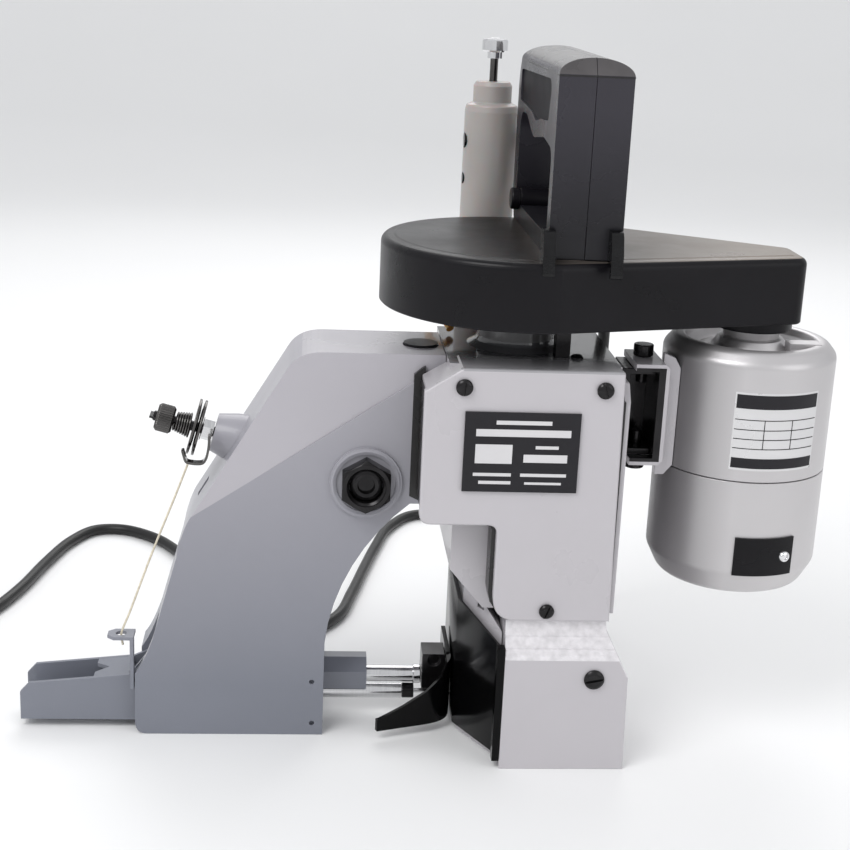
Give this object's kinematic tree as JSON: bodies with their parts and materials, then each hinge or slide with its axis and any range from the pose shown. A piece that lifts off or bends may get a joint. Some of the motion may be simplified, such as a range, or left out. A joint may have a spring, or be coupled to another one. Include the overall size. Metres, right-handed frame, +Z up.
{
  "type": "portable bag closer sewing machine",
  "caption": "Hand-held chain-stitch machine that sews bag mouths shut: cast arm and column, belt cover with grip, side motor, oil pump and mains cord.",
  "frame": {"origin": "on the floor plane, directly under the axis of the vertical main shaft", "axes": "+X from the thread side to the motor, +Y to the rear, +Z up"},
  "size_m": [0.5065, 0.3306, 0.311],
  "materials": {
    "grey_enamel": "semi-gloss stoved enamel on castings",
    "black_enamel": "gloss black",
    "black_steel": "black oxide",
    "bright_steel": "ground and polished",
    "silver_paint": "fine metallic silver paint",
    "aluminium": "machined",
    "black_plastic": "satin moulded",
    "black_rubber": "matt",
    "white_plastic": "translucent moulded",
    "amber_tube": "clear tube filled with oil",
    "cotton": "twisted sewing thread"
  },
  "bodies": {
    "frame": {"frame_housing": "grey_enamel", "front_cover_plate": "grey_enamel", "nameplate": "black_enamel", "cover_screw_upper_left": "black_steel", "cover_screw_upper_right": "black_steel", "cover_screw_lower": "black_steel", "looper_cover": "grey_enamel", "looper_cover_screw": "black_steel", "side_cover_plate": "grey_enamel", "throat_plate": "black_enamel", "arm_casting": "grey_enamel", "oil_hole_plug": "black_plastic", "lever_shaft": "black_steel", "lever_shaft_nut": "black_steel", "lifter_pin": "bright_steel", "thread_guide": "grey_enamel", "tension_post": "black_steel", "tension_discs": "black_steel", "tension_spring": "bright_steel", "thread_hook": "black_steel", "timing_belt": "black_rubber", "belt_cover": "black_plastic", "belt_cover_base": "black_plastic", "motor_head": "silver_paint", "motor_body": "silver_paint", "brush_cover": "black_plastic", "motor_bracket": "grey_enamel", "frame_bracket": "black_steel", "bracket_bolt_upper": "black_steel", "bracket_bolt_lower": "black_steel", "handle_left": "black_plastic", "handle_right": "black_plastic", "pump_body": "white_plastic", "oil_tube": "amber_tube", "power_cord": "black_rubber", "cord_coil": "black_rubber", "cord_relief": "black_rubber", "plug": "black_rubber", "sewing_thread": "cotton", "presser_spring": "bright_steel"},
    "needle_lever": {"needle_lever": "bright_steel"},
    "connecting_rod": {"connecting_rod": "aluminium"},
    "needle_bar": {"needle_bar": "bright_steel", "needle_clamp_nut": "bright_steel", "needle": "bright_steel"},
    "presser": {"presser_bar": "bright_steel", "foot_clamp": "black_steel", "presser_foot": "black_enamel"},
    "lift_lever": {"lift_lever": "grey_enamel"},
    "tension_knob": {"tension_knob": "black_steel"},
    "main_shaft": {"main_shaft": "bright_steel", "main_pulley": "aluminium", "drive_eccentric": "bright_steel"},
    "motor_shaft": {"motor_shaft": "bright_steel", "motor_pulley": "bright_steel"},
    "looper": {"looper_shaft": "bright_steel", "looper": "bright_steel"},
    "feed": {"feed_dog": "bright_steel"},
    "trigger": {"trigger": "black_plastic"},
    "pump_plunger": {"pump_plunger": "bright_steel"}
  },
  "joints": [
    {"name": "needle_bar_slide", "type": "slide", "parent": "frame", "child": "needle_bar", "axis": [1, 0, 0], "range_m": [-0.028, 0]},
    {"name": "needle_lever_rock", "type": "hinge", "parent": "frame", "child": "needle_lever", "pos_m": [-0.0662, 0, 0.1233], "axis": [0, 1, 0], "range_deg": [0, 12.47]},
    {"name": "connecting_rod_pin", "type": "hinge", "parent": "needle_lever", "child": "connecting_rod", "pos_m": [-0.0662, 0, 0.1533], "axis": [0, 1, 0], "range_deg": [-12.47, 0]},
    {"name": "presser_slide", "type": "slide", "parent": "frame", "child": "presser", "axis": [-1, 0, 0], "range_m": [0, 0.0075], "stiffness_N_per_m": 400, "springref_m": -0.02},
    {"name": "lift_lever_hinge", "type": "hinge", "parent": "frame", "child": "lift_lever", "pos_m": [-0.146, 0, 0.048], "axis": [0, 1, 0], "range_deg": [0, 14]},
    {"name": "tension_knob_turn", "type": "hinge", "parent": "frame", "child": "tension_knob", "pos_m": [-0.1412, -0.002, 0.1393], "axis": [-0.9659, 0, 0.2588], "continuous": true},
    {"name": "main_shaft_spin", "type": "hinge", "parent": "frame", "child": "main_shaft", "pos_m": [0, 0, 0.2], "axis": [0, 0, 1], "continuous": true},
    {"name": "motor_shaft_spin", "type": "hinge", "parent": "frame", "child": "motor_shaft", "pos_m": [0.103, -0.014, 0.2], "axis": [0, 0, 1], "continuous": true},
    {"name": "looper_swing", "type": "hinge", "parent": "frame", "child": "looper", "pos_m": [0.006, 0.012, 0], "axis": [0, 0, 1], "range_deg": [-22.05, 0]},
    {"name": "feed_dog_slide", "type": "slide", "parent": "frame", "child": "feed", "axis": [0, 1, 0], "range_m": [0, 0.00701]},
    {"name": "trigger_slide", "type": "slide", "parent": "frame", "child": "trigger", "axis": [0, 0, 1], "range_m": [0, 0.004], "stiffness_N_per_m": 600, "springref_m": -0.004},
    {"name": "pump_plunger_slide", "type": "slide", "parent": "frame", "child": "pump_plunger", "axis": [0, 0, -1], "range_m": [0, 0.009], "stiffness_N_per_m": 400, "springref_m": -0.01}
  ],
  "couplings": [
    {"joint": "needle_lever_rock", "follows": "needle_bar_slide", "rad_per_m": -7.7412},
    {"joint": "connecting_rod_pin", "follows": "needle_bar_slide", "rad_per_m": 7.7412},
    {"joint": "looper_swing", "follows": "needle_bar_slide", "rad_per_m": 13.713},
    {"joint": "feed_dog_slide", "follows": "needle_bar_slide", "ratio": -0.25},
    {"joint": "motor_shaft_spin", "follows": "main_shaft_spin", "ratio": 6.4935},
    {"joint": "presser_slide", "follows": "lift_lever_hinge", "m_per_rad": 0.0218}
  ]
}
